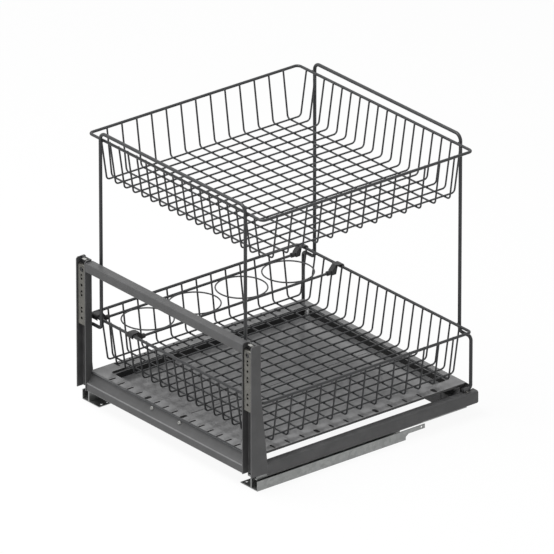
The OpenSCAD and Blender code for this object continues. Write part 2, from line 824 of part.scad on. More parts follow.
module door_plate(side) {
    wing_d = 7;
    color(nickel) on_side(side) difference() {
        union() {
            translate([plate_x - plate_w / 2, plate_y, plate_z])
                cube([plate_w, plate_t, plate_len]);
            for (s = [-1, 1])
                translate([plate_x + s * (plate_w / 2 - 0.75) - 0.75, plate_y, plate_z])
                    cube([1.5, wing_d, plate_len]);
        }
        for (z = plate_hole_zs) translate([plate_x, plate_y - 1, z])
            rotate([-90, 0, 0]) cylinder(d = plate_hole_d, h = plate_t + 2);
        for (z = plate_slot_zs) translate([plate_x, plate_y + plate_t + 1, z])
            rotate([90, 90, 0]) linear_extrude(plate_t + 2)
                slot_2d(stud_d + 2 * plate_lift + 3, stud_d + 0.5);
        // cross slot for the cam
        translate([plate_x - cam_offset * 0.15, plate_y + plate_t + 1, cam_z])
            rotate([90, 0, 0]) linear_extrude(plate_t + 2)
                slot_2d(cam_head_d + 2 * cam_slot_gap + 1, cam_head_d + 2 * cam_slot_gap);
    }
}

// Studs of the uprights that guide the door plates
module guide_studs() {
    color(nickel) for (side = [-1, 1]) on_side(side) for (z = plate_slot_zs)
        translate([plate_x, plate_y + 0.5, z]) rotate([-90, 0, 0])
            cylinder(d = stud_d, h = upright_d - upright_t - plate_inset - 0.5);
}

// Screw whose round head sits off its axis, so that turning it lifts the door plate
module cam_screw(side) {
    head_h = plate_t + 1.7;
    shaft_y = plate_y + 0.3 + head_h;
    color(plastic) on_side(side) difference() {
        union() {
            translate([plate_x, plate_y + 0.3, cam_z]) rotate([-90, 0, 0])
                cylinder(d = cam_head_d, h = head_h + eps);
            translate([plate_x - cam_offset, shaft_y, cam_z])
                rotate([-90, 0, 0]) cylinder(d = 5, h = upright_back + 0.5 - shaft_y);
        }
        translate([plate_x - cam_offset, plate_y, cam_z]) rotate([-90, 0, 0])
            cylinder(d = 3, h = 2, $fn = 6);
    }
}

// ---- latches under the front of the tray ---------------------------------------------------

latch_pin_d = 4;
latch_x = track_x - drawer_half - 12;
latch_y = drawer_member_y + 30;
latch_z = drawer_web_z - 11;
latch_h = 7;

module latch_base(side) {
    x1 = track_x - drawer_half;
    color(plastic) on_side(side) {
        translate([latch_x - 8, latch_y - 12, latch_z - 3])
            cube([x1 - latch_x + 8, 26, 3 - 2 * snug]);
        translate([x1 - 4, latch_y - 12, latch_z - 3]) cube([4, 26, latch_h + 6]);
        translate([latch_x, latch_y, latch_z - 3])
            cylinder(d = latch_pin_d, h = latch_h + 5);
    }
}

module latch_lever(side) {
    color(plastic) on_side(side) translate([latch_x, latch_y, latch_z]) difference() {
        union() {
            cylinder(d = 9, h = latch_h);
            // finger arm towards the door, with a grip at its end
            translate([-3.5, -26, 0]) cube([4, 26, latch_h]);
            translate([-6, -30, 0]) cube([6.5, 8, latch_h]);
            // nose that hooks behind the runner
            translate([0, -3, 0]) cube([6.6, 3, latch_h - 2]);
        }
        translate([0, 0, -1]) cylinder(d = latch_pin_d + snug, h = latch_h + 2);
    }
}

// ---- wire frames and baskets ---------------------------------------------------------------

// Shouldered frame: top bar, posts, shoulders, legs and feet in one bent wire.
// inward is +1 where the feet point to the back, and -1 where they point to the front.
module wire_frame(y, inward) {
    top_r = frame_corner_r;
    color(dark) union() {
        bar_end = post_x - top_r + lap;
        straight([-bar_end, y, top_bar_z], [bar_end, y, top_bar_z], frame_r);
        for (s = [-1, 1]) {
            corner = [s * post_x, y, top_bar_z];
            below = [s * post_x, y, top_bar_z - top_r + lap];
            elbow([0, y, top_bar_z], corner, below, frame_r, top_r);
            bent_wire([
                below,
                [s * post_x, y, shoulder_z],
                [s * leg_x, y, shoulder_z],
                [s * leg_x, y, foot_z],
                [s * leg_x, y + inward * foot_len, foot_z]
            ], frame_r, frame_bend_r);
        }
    }
}

// Saddles that hold the four feet down on the side rails
clamp_len = 9;
clamp_t = 1.2;
foot_mid = frame_bend_r + (foot_len - frame_bend_r) / 2;
clamp_ys = [front_frame_y + foot_mid, rear_frame_y - foot_mid];
clamp_hole_d = 2.6;
clamp_head_d = 3.6;
clamp_screw_x = leg_x + frame_r + weld + clamp_t + clamp_head_d / 2 + weld;

module foot_clamps() {
    over = frame_r + weld;
    flange_x = clamp_screw_x - leg_x + clamp_hole_d / 2 + clamp_t;
    color(galvanised) for (side = [-1, 1], y = clamp_ys) on_side(side) difference() {
        translate([leg_x, 0, foot_z]) along_y(y - clamp_len / 2, y + clamp_len / 2) {
            difference() {
                circle(r = over + clamp_t);
                circle(r = over);
                rect([-2 * over, -2 * over], [2 * over, 0]);
            }
            rect([over, -over], [over + clamp_t, 0]);
            rect([over, -over], [flange_x, -over + clamp_t]);
        }
        translate([clamp_screw_x, y, rail_top - 1]) cylinder(d = clamp_hole_d, h = 4);
    }
}

module clamp_screws() {
    color(nickel) for (side = [-1, 1], y = clamp_ys) on_side(side)
        translate([clamp_screw_x, y, rail_top + clamp_t + weld]) {
            cylinder(d1 = clamp_head_d, d2 = clamp_head_d - 1, h = 1.6);
            translate([0, 0, -clamp_t])
                cylinder(d = clamp_hole_d - 2 * snug, h = clamp_t + eps);
        }
}

module basket_rim(z) {
    color(dark) translate([0, rim_mid_y, z])
        wire_loop(rim_x, rim_half_y, rim_r, rim_corner_r);
}

// U-shaped wires in planes across X, the upper layer of the floor
module basket_long_wires(rim_z) {
    top_y = rim_half_y - weld_in;
    floor_y = top_y - wall_flare;
    color(dark) for (i = [-long_half_count : long_half_count - 1])
        translate([(i + 0.5) * long_pitch, rim_mid_y, rim_z]) bent_wire([
            [0, -top_y, 0], [0, -floor_y, -basket_depth],
            [0, floor_y, -basket_depth], [0, top_y, 0]
        ], wire_r, wire_bend_r, $fn = wire_fn);
}

// U-shaped wires in planes across Y, the lower layer of the floor
module basket_cross_wires(rim_z) {
    top_x = rim_x - weld_in;
    floor_x = top_x - wall_flare;
    floor_z = -basket_depth - wire_d - weld;
    color(dark) for (j = [-cross_half_count : cross_half_count])
        translate([0, rim_mid_y + j * cross_pitch, rim_z]) bent_wire([
            [-top_x, 0, 0], [-floor_x, 0, floor_z],
            [floor_x, 0, floor_z], [top_x, 0, 0]
        ], wire_r, wire_bend_r, $fn = wire_fn);
}

// ---- bottle rack ---------------------------------------------------------------------------

rod_xs = [rack_x - rod_apart, rack_x + rod_apart];

module rack_rods() {
    color(dark) for (x = rod_xs)
        straight([x, rim_mid_y - rod_end, rack_z], [x, rim_mid_y + rod_end, rack_z], rod_d / 2);
}

module rack_rings() {
    color(dark) for (i = [-1.5 : 1 : 1.5])
        translate([rack_x, rim_mid_y + i * ring_pitch, rack_z])
            rotate_extrude() translate([ring_r, 0]) circle(d = ring_wire_d);
}

// Clip drawn about the rim's centre, with Y towards the middle of the basket
module rack_clip() {
    hook_r = rim_r + 2.6;
    socket_d = rod_d + 4;
    arm_y = 8.5 + wall_flare * rack_drop / basket_depth;
    socket_y = clip_reach - 13;
    difference() {
        union() {
            // hook over the rim, open on the inside where the wires end
            along_x(-clip_w / 2, clip_w / 2) difference() {
                union() {
                    circle(r = hook_r);
                    rect([0, rim_r + weld], [arm_y, hook_r]);
                }
                circle(r = rim_r + weld);
                rect([0, -hook_r - 1], [arm_y + 1, rim_r * 0.8]);
                rect([-rim_r * 0.6, -hook_r - 1], [1, 0]);
            }
            // arm down to the socket
            along_x(-clip_w / 2 + 2, clip_w / 2 - 2) polygon([
                [arm_y - 2, hook_r], [arm_y + 2, hook_r],
                [socket_y + 6, -rack_drop + socket_d / 2 - 0.5],
                [socket_y + 6, -rack_drop - socket_d / 2 + 0.5],
                [socket_y - 3, -rack_drop - socket_d / 2 + 0.5], [arm_y - 2, rim_r * 0.8]
            ]);
            translate([0, socket_y - 2, -rack_drop]) rotate([-90, 0, 0])
                cylinder(d = socket_d, h = clip_reach - socket_y + 2);
        }
        translate([0, clip_reach - 9 - snug, -rack_drop]) rotate([-90, 0, 0])
            cylinder(d = rod_d + 2 * weld, h = 12);
    }
}

module rack_clips() {
    color(plastic) for (x = rod_xs, s = [-1, 1])
        translate([x, s < 0 ? rim_front : rim_back, lower_rim_z])
            rotate([0, 0, s < 0 ? 0 : 180]) rack_clip();
}

// ---- the pull-out --------------------------------------------------------------------------

cabinet_member(-1);  // cabinet_member_left
cabinet_member(1);  // cabinet_member_right
soft_close(-1);  // soft_close_left
soft_close(1);  // soft_close_right
middle_member(-1);  // middle_member_left
middle_member(1);  // middle_member_right
cage(-1, lower_cage_y, lower_roller_z);  // lower_cage_left
cage(1, lower_cage_y, lower_roller_z);  // lower_cage_right
cage(-1, upper_cage_y, upper_roller_z);  // upper_cage_left
cage(1, upper_cage_y, upper_roller_z);  // upper_cage_right
rollers(-1, lower_cage_y, lower_roller_z);  // lower_rollers_left
rollers(1, lower_cage_y, lower_roller_z);  // lower_rollers_right
rollers(-1, upper_cage_y, upper_roller_z);  // upper_rollers_left
rollers(1, upper_cage_y, upper_roller_z);  // upper_rollers_right
drawer_member(-1);  // drawer_member_left
drawer_member(1);  // drawer_member_right
side_rail(-1);  // side_rail_left
side_rail(1);  // side_rail_right
rail_caps();
front_profile();
profile_screws();
rear_cross_member();
tray();
upright(-1);  // upright_left
upright(1);  // upright_right
cross_bar();
guide_studs();
wire_frame(front_frame_y, 1);  // front_frame
wire_frame(rear_frame_y, -1);  // rear_frame
foot_clamps();
clamp_screws();
basket_rim(upper_rim_z);  // upper_basket_rim
basket_long_wires(upper_rim_z);  // upper_basket_long_wires
basket_cross_wires(upper_rim_z);  // upper_basket_cross_wires
basket_rim(lower_rim_z);  // lower_basket_rim
basket_long_wires(lower_rim_z);  // lower_basket_long_wires
basket_cross_wires(lower_rim_z);  // lower_basket_cross_wires
rack_rods();
rack_rings();
rack_clips();
door_plate(-1);  // door_plate_left
door_plate(1);  // door_plate_right
cam_screw(-1);  // cam_screw_left
cam_screw(1);  // cam_screw_right
latch_base(-1);  // latch_base_left
latch_base(1);  // latch_base_right
latch_lever(-1);  // latch_lever_left
latch_lever(1);  // latch_lever_right
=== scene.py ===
# %% [markdown]
# # A two-tier pull-out for a kitchen base cabinet
#
# The real object is a low drawer frame on two runners, with a pressed tray, two welded wire
# baskets on two bent-wire frames, a small bottle rack and two channel uprights that take the
# cabinet door. The construction already exists as a CAD frame. This notebook dresses it: round
# wires, rolled sheet edges, weld beads and finishes.
#
# All lengths are in metres, in the frame's own axes: +X to the right seen from the door, -Y
# towards the door and +Z up.

import json
import math

import bmesh
import bpy
import numpy as np
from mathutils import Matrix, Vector


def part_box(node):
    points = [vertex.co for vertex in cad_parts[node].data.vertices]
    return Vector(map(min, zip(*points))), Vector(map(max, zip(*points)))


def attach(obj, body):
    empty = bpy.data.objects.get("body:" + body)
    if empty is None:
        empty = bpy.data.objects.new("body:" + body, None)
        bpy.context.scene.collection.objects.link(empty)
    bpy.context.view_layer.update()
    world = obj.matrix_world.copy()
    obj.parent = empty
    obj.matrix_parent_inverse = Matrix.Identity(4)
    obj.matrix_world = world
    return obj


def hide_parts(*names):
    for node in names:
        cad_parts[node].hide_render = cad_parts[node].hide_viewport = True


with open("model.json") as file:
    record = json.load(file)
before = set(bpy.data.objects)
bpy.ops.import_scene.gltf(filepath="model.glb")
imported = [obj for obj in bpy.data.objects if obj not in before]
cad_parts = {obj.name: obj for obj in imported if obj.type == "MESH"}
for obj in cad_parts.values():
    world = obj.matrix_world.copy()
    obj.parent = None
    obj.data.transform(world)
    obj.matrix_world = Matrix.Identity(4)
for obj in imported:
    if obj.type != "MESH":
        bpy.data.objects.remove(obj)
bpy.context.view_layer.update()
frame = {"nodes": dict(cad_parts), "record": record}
body_of_node = {n: b for b, ns in frame["record"]["behaviour"]["bodies"].items() for n in ns}
slot_of_node = {s["node"]: s["material_slot"] for s in frame["record"]["subparts"]}

# %% [markdown]
# ## Finishes
#
# Almost everything here is powder coated steel: a plastic powder is baked onto the metal, and it
# keeps a very fine orange peel. A flat colour would look like paper, so the coat gets three
# small disturbances that all come from noise on object coordinates: a drift in its grey, a drift
# in its roughness and a bump too fine to see as anything but a softer highlight.
#
# Its grey also depends on the place. An edge is paler than the rest, for rubbed wear and a painted
# highlight, and the steep faces of the tray are much darker than its flats, a painted shade.

# %% A material and its nodes
def shader(name):
    """An empty material with a Principled shader, and a helper that adds and links nodes."""
    mat = bpy.data.materials.new(name)
    mat.use_nodes = True
    nodes, links = mat.node_tree.nodes, mat.node_tree.links
    principled = nodes["Principled BSDF"]

    def add(kind, settings=None, **inputs):
        node = nodes.new(kind)
        for key, value in (settings or {}).items():
            setattr(node, key, value)
        for key, value in inputs.items():
            socket = node.inputs[key.replace("_", " ")]
            if isinstance(value, bpy.types.NodeSocket):
                links.new(value, socket)
            else:
                socket.default_value = value
        return node

    return mat, principled, add, links


# %% Noise that drives a level, a grey or a bump
NOISE_SPAN = (0.3, 0.7)
GREY_SPAN = (0.35, 0.65)
# Steep faces take a painted shade over this span of the height of their normal.
STEEP_SHADE_SPAN = (0.3, 0.7)
BUMP_STRENGTH = 0.6


def mapped(add, value, source, target):
    """A socket that carries value from the range source over to the range target."""
    span = add("ShaderNodeMapRange", Value=value)
    for key, level in zip(("From Min", "From Max", "To Min", "To Max"), (*source, *target)):
        span.inputs[key].default_value = level
    return span.outputs["Result"]


def drift(add, links, vector, scale, detail, span, target):
    """Noise of that scale drives the target socket over the span, from low to high."""
    noise = add("ShaderNodeTexNoise", Vector=vector, Scale=scale, Detail=detail)
    links.new(mapped(add, noise.outputs["Fac"], NOISE_SPAN, span), target)


def grey_mix(add, links, vector, scale, colours, target, wear_and_highlight, steep_shade):
    """Noise of that scale mixes the dark and the pale colour, and the place scales the mix.

    Colour x (1 + edge level x edge) x side, where edge is 1 on a bevel and 0 elsewhere: a bevel is
    paler, for rubbed wear and a painted highlight. The height of the face's normal gives side, a
    painted shade: 1 on flats, falling to the steep level on faces that stand upright.
    """
    noise = add("ShaderNodeTexNoise", Vector=vector, Scale=scale, Detail=4.0)
    ramp = add("ShaderNodeValToRGB", Fac=noise.outputs["Fac"])
    for end, (position, colour) in enumerate(zip(GREY_SPAN, colours)):
        ramp.color_ramp.elements[end].position = position
        ramp.color_ramp.elements[end].color = (*colour, 1.0)
    # A bevel is paler: rubbed wear and a painted highlight.
    edge = add("ShaderNodeAttribute", {"attribute_name": "edge"})
    lift = mapped(add, edge.outputs["Fac"], (0.0, 1.0), (1.0, 1.0 + wear_and_highlight))
    # Steep faces are darker: a painted shade.
    facing = add("ShaderNodeSeparateXYZ", Vector=add("ShaderNodeTexCoord").outputs["Normal"])
    level = add("ShaderNodeMath", {"operation": "ABSOLUTE"}, Value=facing.outputs["Z"])
    side = mapped(add, level.outputs[0], STEEP_SHADE_SPAN, (steep_shade, 1.0))
    factor = add("ShaderNodeMath", {"operation": "MULTIPLY"})
    links.new(lift, factor.inputs[0])
    links.new(side, factor.inputs[1])
    scaled = add("ShaderNodeVectorMath", {"operation": "SCALE"}, Scale=factor.outputs[0])
    links.new(ramp.outputs["Color"], scaled.inputs[0])
    links.new(scaled.outputs["Vector"], target)


def grain(add, links, principled, vector, scale, height):
    """A fine bump: noise of that scale, raised by height in metres."""
    noise = add("ShaderNodeTexNoise", Vector=vector, Scale=scale, Detail=2.0)
    bump = add("ShaderNodeBump", Height=noise.outputs["Fac"], Distance=height)
    bump.inputs["Strength"].default_value = BUMP_STRENGTH
    links.new(bump.outputs["Normal"], principled.inputs["Normal"])


# %% Powder coat, nickel and moulded plastic
def coated(name, colour, tints, grey_scale, rough, rough_scale, grain_scale, grain_height,
           wear_and_highlight=1.0, steep_shade=1.0, **levels):
    """A finish with all three disturbances. Its colour drifts between colour x tints.

    The scales belong to the noise. The levels are further inputs of the Principled shader.
    """
    mat, principled, add, links = shader(name)
    at = add("ShaderNodeTexCoord").outputs["Object"]
    colours = [tuple(c * tint for c in colour) for tint in tints]
    grey_mix(add, links, at, grey_scale, colours, principled.inputs["Base Color"], wear_and_highlight, steep_shade)
    drift(add, links, at, scale=rough_scale, detail=3.0, span=rough,
          target=principled.inputs["Roughness"])
    grain(add, links, principled, at, grain_scale, grain_height)
    for key, level in levels.items():
        principled.inputs[key.replace("_", " ")].default_value = level
    return mat


def powder_coat(name, colour, rough, specular=0.4, wear_and_highlight=1.0, steep_shade=1.0):
    """Baked powder: a soft sheen over a fine orange peel."""
    return coated(name, colour, tints=(0.9, 1.1), grey_scale=40.0,
                  rough=(rough - 0.06, rough + 0.06), rough_scale=220.0,
                  grain_scale=1400.0, grain_height=0.00004, wear_and_highlight=wear_and_highlight, steep_shade=steep_shade,
                  Specular_IOR_Level=specular)


def nickel(name, colour):
    """Plated sheet: smoother than the coat, and a metal."""
    return coated(name, colour, tints=(0.86, 1.1), grey_scale=110.0, rough=(0.24, 0.38),
                  rough_scale=160.0, grain_scale=1200.0, grain_height=0.00002, Metallic=0.9)


def moulded(name, colour):
    """Dull plastic from a textured mould."""
    return coated(name, colour, tints=(0.8, 1.2), grey_scale=130.0, rough=(0.42, 0.56),
                  rough_scale=300.0, grain_scale=2200.0, grain_height=0.00005)


# %% Zinc
CRYSTAL_SCALE = 160.0
ZINC_TINTS, ZINC_ROUGH, ZINC_METAL = (0.82, 1.12), (0.34, 0.5), 0.85


def zinc(name, colour):
    """Galvanised sheet: broad pale crystals, each with its own grey, and a dull metal gloss."""
    mat, principled, add, links = shader(name)
    at = add("ShaderNodeTexCoord").outputs["Object"]
    cells = add("ShaderNodeTexVoronoi", Vector=at, Scale=CRYSTAL_SCALE)
    ramp = add("ShaderNodeValToRGB", Fac=cells.outputs["Color"])
    for end, tint in enumerate(ZINC_TINTS):
        ramp.color_ramp.elements[end].color = (*[c * tint for c in colour], 1.0)
    links.new(ramp.outputs["Color"], principled.inputs["Base Color"])
    drift(add, links, at, scale=90.0, detail=4.0, span=ZINC_ROUGH,
          target=principled.inputs["Roughness"])
    grain(add, links, principled, at, scale=700.0, height=0.00003)
    principled.inputs["Metallic"].default_value = ZINC_METAL
    return mat


# %% The finish of each material slot, and the exceptions
finish_of_slot = {
    "dark_wire": powder_coat("wire coat", (0.034, 0.035, 0.037), rough=0.4),
    # The frame coat's bevels are paler: rubbed wear and a painted highlight along the folds.
    "dark_sheet": powder_coat("frame coat", (0.075, 0.075, 0.076), rough=0.44, wear_and_highlight=1.45),
    # The tray coat paints shade on its steep faces, and its bevels are paler from wear and a
    # painted highlight.
    "grey_sheet": powder_coat("tray coat", (0.168, 0.168, 0.17), rough=0.17, specular=0.45,
                              wear_and_highlight=0.6, steep_shade=0.12),
    "galvanised_steel": zinc("zinc", (0.287, 0.294, 0.289)),
    "nickel_steel": nickel("nickel plate", (0.146, 0.143, 0.13)),
    "black_plastic": moulded("black plastic", (0.012, 0.012, 0.0125)),
}
bright_zinc = zinc("bright zinc", (0.52, 0.52, 0.5))
finish_of_node = {
    "profile_screws": zinc("screw zinc", (0.34, 0.34, 0.33)),
    "foot_clamps": powder_coat("clamp coat", (0.06, 0.06, 0.061), rough=0.35),
}
finishes = [*finish_of_slot.values(), *finish_of_node.values(), bright_zinc]
print("finishes:", ", ".join(m.name for m in finishes))

# %% [markdown]
# ## Surfaces from grids
#
# Each new piece is a grid of points P(i, j), worked out as whole numpy arrays. Neighbouring
# points are joined by quads, and a wire's grid is also joined round its second direction.
# Putting many grids in one mesh only needs their indices shifted.

# %% Quads of a grid
def grid_quads(rows, columns, wrap_rows=False, wrap_columns=False):
    """Quads of a grid numbered row by row: each joins (i, j) with its neighbours."""
    i = np.arange(rows if wrap_rows else rows - 1)[:, None]
    j = np.arange(columns if wrap_columns else columns - 1)[None, :]
    i2, j2 = (i + 1) % rows, (j + 1) % columns
    corners = [i * columns + j, i2 * columns + j, i2 * columns + j2, i * columns + j2]
    return np.stack([np.broadcast_to(c, (i.size, j.size)) for c in corners], -1).reshape(-1, 4)


# %% Many grids in one mesh
def copies(points, faces, offsets):
    """The same mesh at every offset: point = base point + offset."""
    offsets = np.asarray(offsets, float).reshape(-1, 3)
    all_points = (points[None] + offsets[:, None]).reshape(-1, 3)
    shift = len(points) * np.arange(len(offsets))
    all_faces = (faces[None] + shift[:, None, None]).reshape(-1, faces.shape[1])
    return all_points, all_faces


def joined(*meshes):
    """Several (points, faces) pairs as one pair."""
    starts = np.cumsum([0] + [len(p) for p, _ in meshes])
    return (
        np.concatenate([p for p, _ in meshes]),
        np.concatenate([f + s for (_, f), s in zip(meshes, starts)]),
    )


# %% From a mesh to a shown piece
MERGE_DIST = 1e-6
CREASE_DEG = 40.0


def shown(data, node, crease_deg, finish):
    """The mesh as an object with the body of a CAD node and the given finish."""
    data.polygons.foreach_set("use_smooth", np.ones(len(data.polygons), bool))
    data.set_sharp_from_angle(angle=math.radians(crease_deg))
    data.materials.append(finish)
    obj = bpy.data.objects.new(data.name, data)
    bpy.context.scene.collection.objects.link(obj)
    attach(obj, body_of_node[node])
    return obj


def piece(name, mesh, node, replaces=(), finish=None):
    """A new piece that goes with a CAD node, which it may stand for.

    Points in one place are merged, which closes poles and seams, and faces turn outwards.
    """
    points, faces = mesh
    data = bpy.data.meshes.new(name)
    data.from_pydata(points.tolist(), [], faces.tolist())
    shape = bmesh.new()
    shape.from_mesh(data)
    bmesh.ops.remove_doubles(shape, verts=shape.verts, dist=MERGE_DIST)
    bmesh.ops.recalc_face_normals(shape, faces=shape.faces)
    shape.to_mesh(data)
    shape.free()
    obj = shown(data, node, CREASE_DEG, finish or finish_of_slot[slot_of_node[node]])
    if replaces:
        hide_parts(*replaces)
    return obj


# %% How well a piece fits the frame
def compared(obj, node):
    """Prints how far the piece's box is from that of the CAD node, in millimetres."""
    co = np.empty(len(obj.data.vertices) * 3, np.float32)
    obj.data.vertices.foreach_get("co", co)
    co = co.reshape(-1, 3)
    low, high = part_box(node)
    off = max(np.abs(co.min(0) - low).max(), np.abs(co.max(0) - high).max()) * 1000
    print(f"{obj.name}: {len(obj.data.polygons)} faces, within {off:.2f} mm of its CAD box")


# %% [markdown]
# ## Bending wire
#
# A basket is made of straight wire bent over a pin. The path of its centre is straight legs
# joined by arcs that touch both legs. The wire's skin is a circle carried along that path. The
# circle must not spin about the path at a bend, so each ring takes the last ring's normal and
# only removes its part along the new direction.

# %% The centre line of a bent wire
def bent_path(corners, bend_r, steps=7):
    """Straight legs with an arc at each inner corner: centre + r (u cos a - back sin a)."""
    corners = np.asarray(corners, float)
    out = [corners[:1]]
    for a, b, c in zip(corners[:-2], corners[1:-1], corners[2:]):
        back, ahead = (a - b) / np.linalg.norm(a - b), (c - b) / np.linalg.norm(c - b)
        opening = math.acos(np.clip(back @ ahead, -1, 1))
        middle = (back + ahead) / np.linalg.norm(back + ahead)
        centre = b + middle * bend_r / math.sin(opening / 2)
        u = (b - centre) / bend_r + back / math.tan(opening / 2)
        angle = np.linspace(0, math.pi - opening, steps)[:, None]
        out.append(centre + bend_r * (u * np.cos(angle) - back * np.sin(angle)))
    out.append(corners[-1:])
    return np.concatenate(out)


# %% The skin of a wire
# A cut end is slightly domed. Each ring of the dome has its height as a share of the dome's and
# its radius as a share of the wire's, counted from the tip.
DOME = 0.12
DOME_RINGS = ((1.0, 1e-4), (0.8, 0.6), (0.3, 0.92))


def wire(path, r, sides=12, closed=False):
    """P(s, a) = path(s) + r (n(s) cos a + b(s) sin a), with a dome on each open end."""
    path = np.asarray(path, float)
    ahead = np.roll(path, -1, 0) - path
    if not closed:
        ahead[-1] = ahead[-2]
    ahead /= np.linalg.norm(ahead, axis=1)[:, None]
    behind = np.roll(ahead, 1, 0)
    if not closed:
        behind[0] = ahead[0]
    along = ahead + behind
    along /= np.linalg.norm(along, axis=1)[:, None]
    normal = np.empty_like(path)
    start = np.eye(3)[np.argmin(np.abs(along[0]))]
    for i, t in enumerate(along):
        start = start - (start @ t) * t
        start /= np.linalg.norm(start)
        normal[i] = start
    binormal = np.cross(along, normal)
    angle = 2 * math.pi * np.arange(sides) / sides
    ring = normal[:, None] * np.cos(angle)[:, None] + binormal[:, None] * np.sin(angle)[:, None]
    rows = path[:, None] + r * ring
    if closed:
        return rows.reshape(-1, 3), grid_quads(len(path), sides, wrap_rows=True, wrap_columns=True)
    dome = DOME * r
    first = [path[0] - along[0] * dome * k + r * f * ring[0] for k, f in DOME_RINGS]
    last = [path[-1] + along[-1] * dome * k + r * f * ring[-1] for k, f in DOME_RINGS[::-1]]
    rows = np.concatenate([first, rows, last])
    return rows.reshape(-1, 3), grid_quads(len(rows), sides, wrap_columns=True)


# %% The centre line of a rim
def loop_path(half_x, half_y, corner_r, steps=9):
    """A flat rectangle with round corners, counted anticlockwise, centred on the origin."""
    angle = np.linspace(0, math.pi / 2, steps)
    quarter = np.stack([np.cos(angle), np.sin(angle)], -1) * corner_r
    parts = []
    for turn, (sx, sy) in enumerate(((1, 1), (-1, 1), (-1, -1), (1, -1))):
        c, s = (1, 0, -1, 0)[turn], (0, 1, 0, -1)[turn]
        turned = quarter @ np.array([[c, s], [-s, c]])
        parts.append(turned + (sx * (half_x - corner_r), sy * (half_y - corner_r)))
    flat = np.concatenate(parts)
    return np.column_stack([flat, np.zeros(len(flat))])


# %% [markdown]
# ## Baskets
#
# A basket is a thick rim, a lower layer of wires that run across and an upper layer that runs
# front to back. Both layers turn up at their ends, lean outwards and stop at the inside of the
# rim. The sizes below are measured on the frame, so that the round wires lie exactly on it. The
# thin wires get the thickness of their coat on top.

# %% Sizes of a basket, measured on the frame
WIRE_R = 0.0014
COAT = 0.00015
AIR = 0.00005
LONG_COUNT, CROSS_COUNT = 18, 13
FLARE = 0.012
BEND_R = 0.007
RIM_CORNER_R = 0.008

low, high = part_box("upper_basket_rim")
RIM_R = (high.z - low.z) / 2
RIM_X = (high.x - low.x) / 2 - RIM_R
RIM_Y = (high.y - low.y) / 2 - RIM_R
MID_Y = (high.y + low.y) / 2
rim_z = {
    tier: sum(corner.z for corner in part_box(f"{tier}_basket_rim")) / 2
    for tier in ("upper", "lower")
}
DEPTH = rim_z["upper"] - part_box("upper_basket_long_wires")[0].z - WIRE_R
INSIDE = RIM_R + WIRE_R + AIR
print(f"rim {2 * RIM_X:.4f} by {2 * RIM_Y:.4f}, wire {2 * RIM_R:.4f}, depth {DEPTH:.4f}")


# %% Places of the wires
def pitch_of(node, axis, count):
    """Distance between neighbouring wires of a layer, from the layer's box."""
    a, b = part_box(node)
    return (b[axis] - a[axis] - 2 * WIRE_R) / (count - 1)


LONG_PITCH = pitch_of("upper_basket_long_wires", 0, LONG_COUNT)
CROSS_PITCH = pitch_of("upper_basket_cross_wires", 1, CROSS_COUNT)
long_x = (np.arange(LONG_COUNT) - (LONG_COUNT - 1) / 2) * LONG_PITCH
cross_y = MID_Y + (np.arange(CROSS_COUNT) - (CROSS_COUNT - 1) / 2) * CROSS_PITCH
print(f"wires every {LONG_PITCH * 1000:.1f} mm and {CROSS_PITCH * 1000:.1f} mm")


# %% Rims and both layers of wires
def basket(tier):
    """A rim, and one wire of each layer copied to all its places."""
    z = rim_z[tier]
    rim_path = loop_path(RIM_X, RIM_Y, RIM_CORNER_R) + (0, MID_Y, z)
    top, foot = RIM_Y - INSIDE, RIM_Y - INSIDE - FLARE
    long_path = [(0, MID_Y - top, z), (0, MID_Y - foot, z - DEPTH),
                 (0, MID_Y + foot, z - DEPTH), (0, MID_Y + top, z)]
    long_one = wire(bent_path(long_path, BEND_R), WIRE_R + COAT)
    top, foot, under = RIM_X - INSIDE, RIM_X - INSIDE - FLARE, z - DEPTH - 2 * WIRE_R - AIR
    cross_path = [(-top, 0, z), (-foot, 0, under), (foot, 0, under), (top, 0, z)]
    cross_one = wire(bent_path(cross_path, BEND_R), WIRE_R + COAT)
    layers = {
        "rim": wire(rim_path, RIM_R, sides=16, closed=True),
        "long_wires": copies(*long_one, [(x, 0, 0) for x in long_x]),
        "cross_wires": copies(*cross_one, [(0, y, 0) for y in cross_y]),
    }
    for layer, mesh in layers.items():
        node = f"{tier}_basket_{layer}"
        compared(piece(f"{node}_round", mesh, node, [node]), node)


basket("upper")
basket("lower")

# %% [markdown]
# ## Welds
#
# Every crossing of two wires is spot welded, which squeezes out a small collar of steel. There
# are hundreds, so each is only a coarse bead, and all the beads of a basket are one mesh.

# %% Beads at the crossings and along the inside of the rims
# The size of a bead is given by its three half axes.
CROSSING_BEAD = (0.0017, 0.0017, 0.0011)
FRONT_BEAD = (0.0018, 0.0016, 0.0016)
SIDE_BEAD = (0.0016, 0.0018, 0.0016)
BEAD_IN, BEAD_DROP = 0.0004, 0.0004


def bead(rx, ry, rz, around=8, up=4):
    """An ellipsoid: (rx cos b cos a, ry cos b sin a, rz sin b)."""
    b = np.linspace(-math.pi / 2, math.pi / 2, up + 1)[:, None]
    a = 2 * math.pi * np.arange(around)[None] / around
    points = np.stack([rx * np.cos(b) * np.cos(a), ry * np.cos(b) * np.sin(a),
                       rz * np.sin(b) + 0 * a], -1)
    return points.reshape(-1, 3), grid_quads(up + 1, around, wrap_columns=True)


